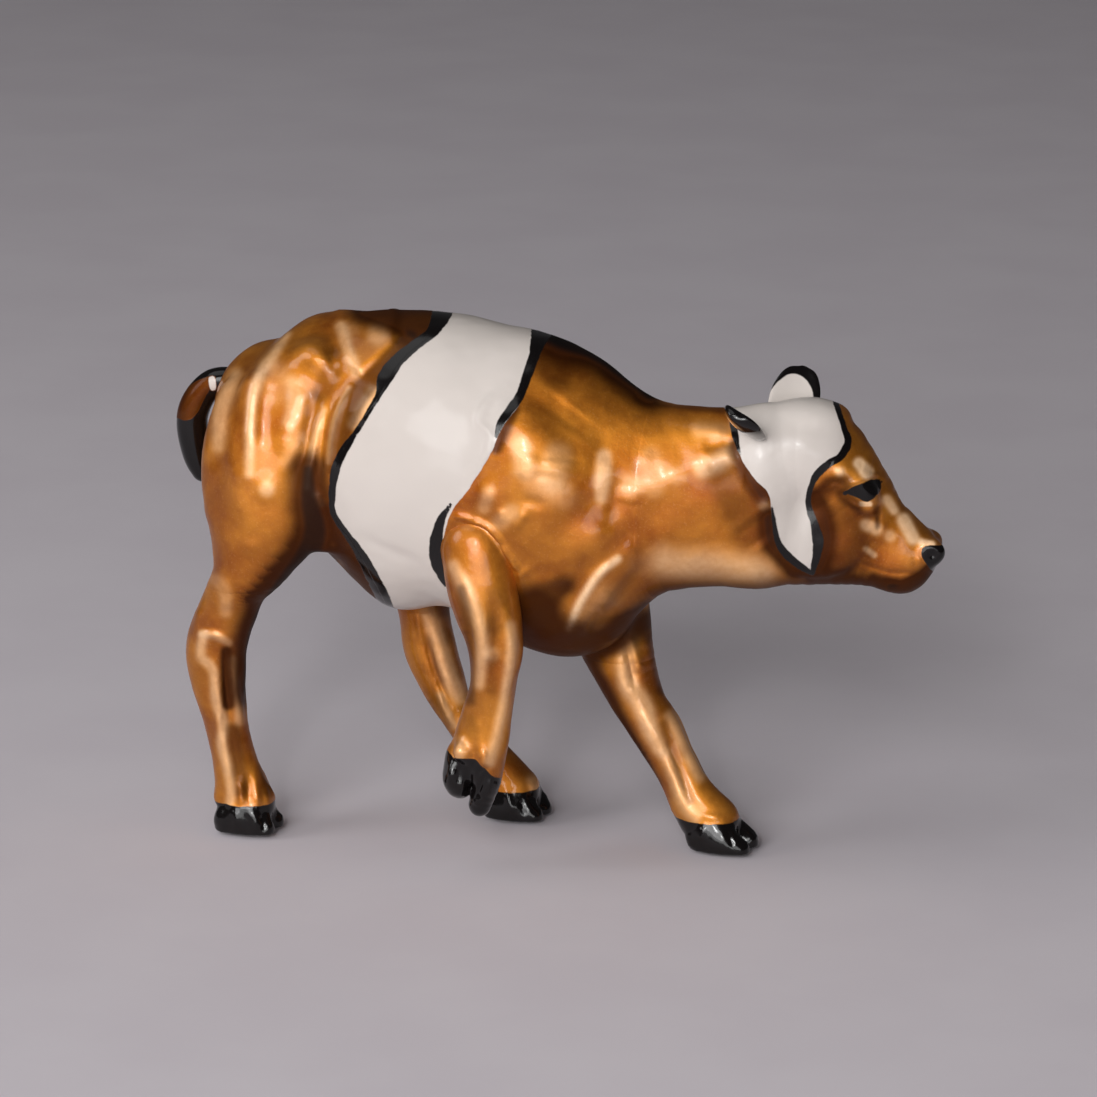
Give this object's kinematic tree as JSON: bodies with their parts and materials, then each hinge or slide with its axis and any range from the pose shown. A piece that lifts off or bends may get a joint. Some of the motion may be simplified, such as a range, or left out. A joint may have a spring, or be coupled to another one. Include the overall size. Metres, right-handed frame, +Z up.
{
  "type": "calf figurine",
  "caption": "Small painted figurine of a walking calf with one foreleg raised, its head turned aside and a pale belt round the body.",
  "frame": {"origin": "on the ground under the middle of the figure's outer box", "axes": "+X from tail to head, +Y to the calf's left, +Z up"},
  "size_m": [0.0668, 0.0208, 0.0461],
  "materials": {
    "copper_paint": "cast resin under pearl copper paint and clear gloss",
    "black_enamel": "cast resin under gloss black enamel",
    "white_enamel": "cast resin under gloss off-white enamel",
    "steel": "cut steel wire"
  },
  "bodies": {
    "root": {"torso": "copper_paint", "head_and_neck": "copper_paint", "right_ear": "black_enamel", "left_ear": "white_enamel", "right_foreleg": "copper_paint", "left_foreleg": "copper_paint", "right_hind_leg": "copper_paint", "left_hind_leg": "copper_paint", "tail": "black_enamel", "neck_pin_upper": "steel", "neck_pin_lower": "steel", "right_hind_pin": "steel", "left_hind_pin": "steel", "left_fore_pin": "steel", "right_fore_pin": "steel", "tail_pin": "steel"}
  },
  "joints": []
}
